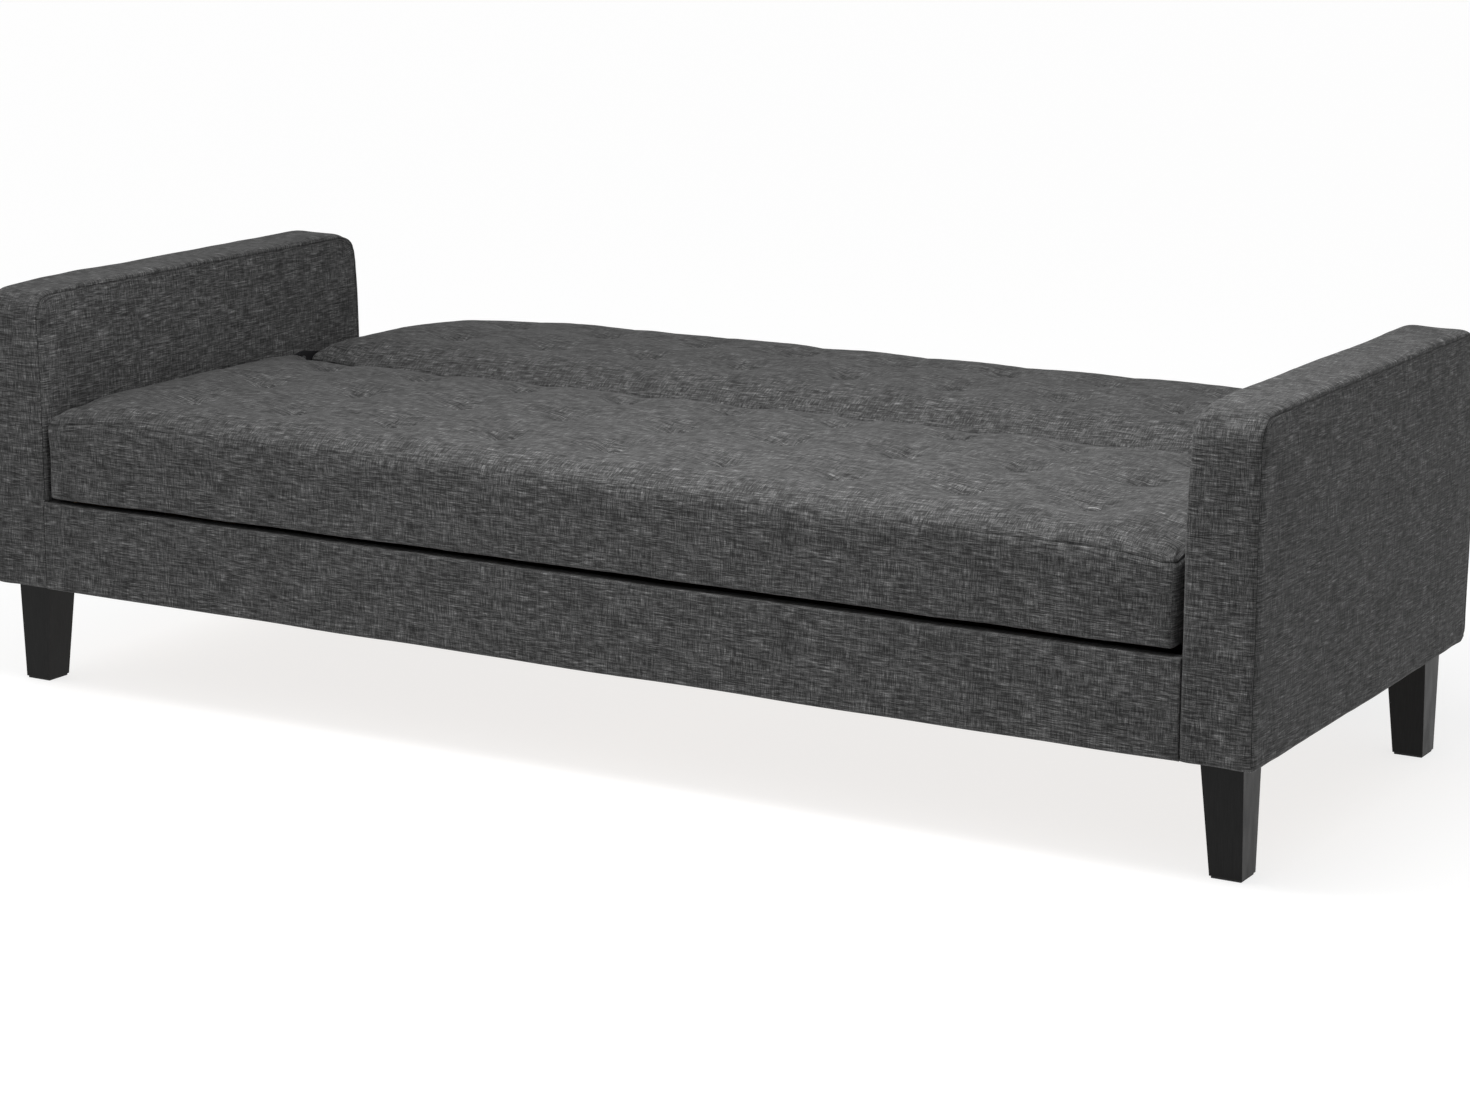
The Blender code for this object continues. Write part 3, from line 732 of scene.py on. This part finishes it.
def pad(word, body, rows, edges, crown, sag, slopes, droop, seed):
    """A tufted pad: a border sewn to a crowned top, which is drawn down at its tufts. Its
    underside hangs by sag. Each slope of its top is (Y where it starts, Y where it ends, depth,
    distance from the pad's ends over which it comes in), and droop, at its two outer corners,
    is (Y of the outer edge, depth, reach)."""
    low, high = (np.array(corner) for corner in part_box(f"{word}_cushion"))
    seam_height = high[2] - SEAM_BELOW_TOP
    low, high = low + TRIM_LOW, high - TRIM_HIGH
    places = tufts(rows)
    lattice = (
        (11 * MM, 5.5 * MM, 24 * MM, sorted({x for x, _ in places})),
        (13 * MM, 5.0 * MM, 26 * MM, [FRONT + row for row in rows]),
        (17 * MM, 3.4 * MM, 12 * MM, (seam_height,)),
    )

    def seam(points):
        """The seam closes up away from the pad's ends: its groove and its painted shade all but
        disappear there.
        """
        shut = SEAM_CLOSING * band(end_distance(points, low, high), 0.05, 0.35)
        return np.abs(points[:, 2] - seam_height) + side_distance(points, low, high) + shut

    obj = soft_box(f"{word}_pad", low, high, lattice, edges, 22 * MM, seam)
    points = coordinates(obj.data)
    top = shape_pad(points, low, high, seam_height, rows, crown, sag, slopes, droop)
    move(obj.data, points)
    limit = np.where(top > 0.2, TOP_SWELL, SIDE_SWELL)
    inflate(obj, held(obj.data, points, seam_height, places, top), limit)
    subdivided(obj)
    crease(obj, seam_height, places, seed)
    obj.data.shade_smooth()
    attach(obj, body)
    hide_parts(f"{word}_cushion")


SEAT = {
    "word": "seat", "body": "seat", "rows": (0.120, 0.275, 0.425),
    "edges": rounded((7, 7, 26, 46), (8, 12, 7, 7), (5, 5, 24, 24)),
    "crown": 8 * MM, "sag": 3.5 * MM,
    "slopes": ((0.445, 0.577, 30 * MM, 0.07),),
    "droop": (0.0, 8 * MM, 0.10), "seed": 5,
}
BACK = {
    "word": "back", "body": "backrest", "rows": (0.752, 0.915),
    "edges": rounded((7, 7, 46, 30), (7, 7, 36, 36), (5, 5, 24, 24)),
    "crown": 7 * MM, "sag": 0.0,
    "slopes": ((0.70, 0.60, 6 * MM, 0.10), (0.72, 1.05, 9 * MM, 0)),
    "droop": (1.045, 18 * MM, 0.20), "seed": 8,
}


# ---------------------------------------------------------------- arms and aprons


PANEL_SWELL, PANEL_INSET = 2.4 * MM, 1.4 * MM  # of the side panels
STRIP_LIFT = 5 * MM  # of the top and rear, whose padding is thicker than at the front
INNER_SWELL = 4 * MM  # of the inner half towards the pads, below the top


def arm(word, side):
    """A slab arm: a strip over front, top and rear, sewn to two side panels."""
    low, high = (np.array(corner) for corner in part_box(f"arm_{word}_cover"))
    lattice = ((11 * MM, 4 * MM, 12 * MM), (26 * MM, 6 * MM, 40 * MM), (24 * MM, 6 * MM, 40 * MM))
    edges = rounded((4, 14, 35, 46), (11, 11, 11, 11), (3, 3, 13, 13))

    def seam(points):
        """The strip's two long edges, which are the side panels' outlines."""
        x, y, z = points.T
        to_side = np.minimum(x - low[0], high[0] - x)
        to_outline = np.minimum(np.minimum(y - low[1], high[1] - y), high[2] - z)
        beside = np.maximum(to_side, to_outline)
        return np.where(z > low[2] + MM, beside, np.maximum(beside, 5 * MM))

    obj = soft_box(f"arm_{word}_upholstery", low, high, lattice, edges, 16 * MM, seam)
    subdivided(obj)
    points, normals = coordinates(obj.data), directions(obj.data)
    distance = seam_distance(obj.data)
    face = band(np.abs(normals[:, 0]), 0.5, 0.95)
    lift = face * (PANEL_SWELL * band(distance, 0, 90 * MM) - PANEL_INSET)
    lift += sewn(distance, 0.9 * MM, 0.5 * MM)
    strip = band(normals[:, 2] + np.maximum(normals[:, 1], 0), 0.3, 0.9)
    lift += strip * STRIP_LIFT * band(points[:, 1], low[1], low[1] + 120 * MM)
    lift += wobble(points, 0.16, 11 + side) * 0.6 * MM + wobble(points, 0.05, 21 + side) * 0.22 * MM
    corner = np.hypot(points[:, 1] - low[1], points[:, 2] - low[2])
    pucker = (1 - band(corner, 15 * MM, 60 * MM)) * (1 - band(distance, 4 * MM, 22 * MM))
    lift += pucker * gathers(points[:, [2, 1, 0]], 41 + side) * 0.7 * MM
    points += normals * lift[:, None]
    inward = -side * (points[:, 0] - (low[0] + high[0]) / 2) / (high[0] - low[0])
    lower = 1 - band(points[:, 2], high[2] - 0.13, high[2])
    points[:, 0] -= side * INNER_SWELL * band(inward, 0, 0.45) * lower
    points[:, 2] = np.maximum(points[:, 2], low[2])
    move(obj.data, points)
    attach(obj, "base")
    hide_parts(f"arm_{word}_cover")


def apron(place):
    """Fabric stretched over an apron board."""
    low, high = (np.array(corner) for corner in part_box(f"{place}_apron_cover"))
    high[2] += 1.5 * MM
    lattice = ((24 * MM, 4 * MM, 12 * MM), (6 * MM, 1.2 * MM, 4 * MM), (10 * MM, 2 * MM, 8 * MM))
    edges = rounded((4, 4, 4, 4), (2, 2, 2, 2))
    obj = soft_box(f"{place}_apron_fabric", low, high, lattice, edges, 3 * MM)
    points, normals = coordinates(obj.data), directions(obj.data)
    points += normals * (wobble(points, 0.20, 31) * 0.6 * MM)[:, None]
    loose = wobble(points[:, [2, 2, 2]] * (0, 0, 1), 0.05, 33)
    points[:, 0] -= band(points[:, 0], high[0] - 20 * MM, high[0]) * (1.1 + 0.5 * loose) * MM
    points = np.clip(points, low, high)
    move(obj.data, points)
    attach(obj, "base")
    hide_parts(f"{place}_apron_cover")


# ---------------------------------------------------------------- legs


GLIDE = 3 * MM


def bevelled(obj, width, segments):
    edge = obj.modifiers.new("edge", "BEVEL")
    edge.width, edge.segments = width, segments
    edge.angle_limit = radians(50)
    edge.harden_normals = True
    applied(obj)


def leg(name):
    """A tapered block leg with eased edges, on a thin glide set in from its foot."""
    obj = bpy.data.objects.new(f"{name}_lacquered", frame["nodes"][name].data.copy())
    bpy.context.scene.collection.objects.link(obj)
    place = frame["nodes"][name].matrix_world
    foot = [v for v in obj.data.vertices if (place @ v.co).z < MM]
    for vertex in foot:
        vertex.co = place.inverted() @ (place @ vertex.co + Vector((0, 0, GLIDE)))
    low, high = (
        Vector([pick((place @ v.co)[axis] for v in foot) for axis in range(3)]) for pick in (min, max)
    )
    bevelled(obj, 1.6 * MM, 3)
    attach(obj, "base")
    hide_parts(name)

    mesh = bpy.data.meshes.new("glide")
    shape = bmesh.new()
    size = (high.x - low.x - 3 * MM, high.y - low.y - 3 * MM, GLIDE)
    bmesh.ops.create_cube(shape, size=1, matrix=Matrix.Diagonal((*size, 1)))
    shape.to_mesh(mesh)
    shape.free()
    glide = bpy.data.objects.new(f"{name}_glide", mesh)
    glide.location = ((low.x + high.x) / 2, (low.y + high.y) / 2, GLIDE / 2)
    bpy.context.scene.collection.objects.link(glide)
    bpy.context.view_layer.update()
    bevelled(glide, 0.6 * MM, 2)
    glide.data.materials.append(MATERIALS["black_rubber"])
    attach(glide, "base")


camera()
studio()
finish_cad_parts()
pad(**SEAT)
pad(**BACK)
for word, side in SIDES:
    arm(word, side)
for place in ("front", "rear"):
    apron(place)
for word, _ in SIDES:
    for place in ("front", "rear"):
        leg(f"leg_{place}_{word}")
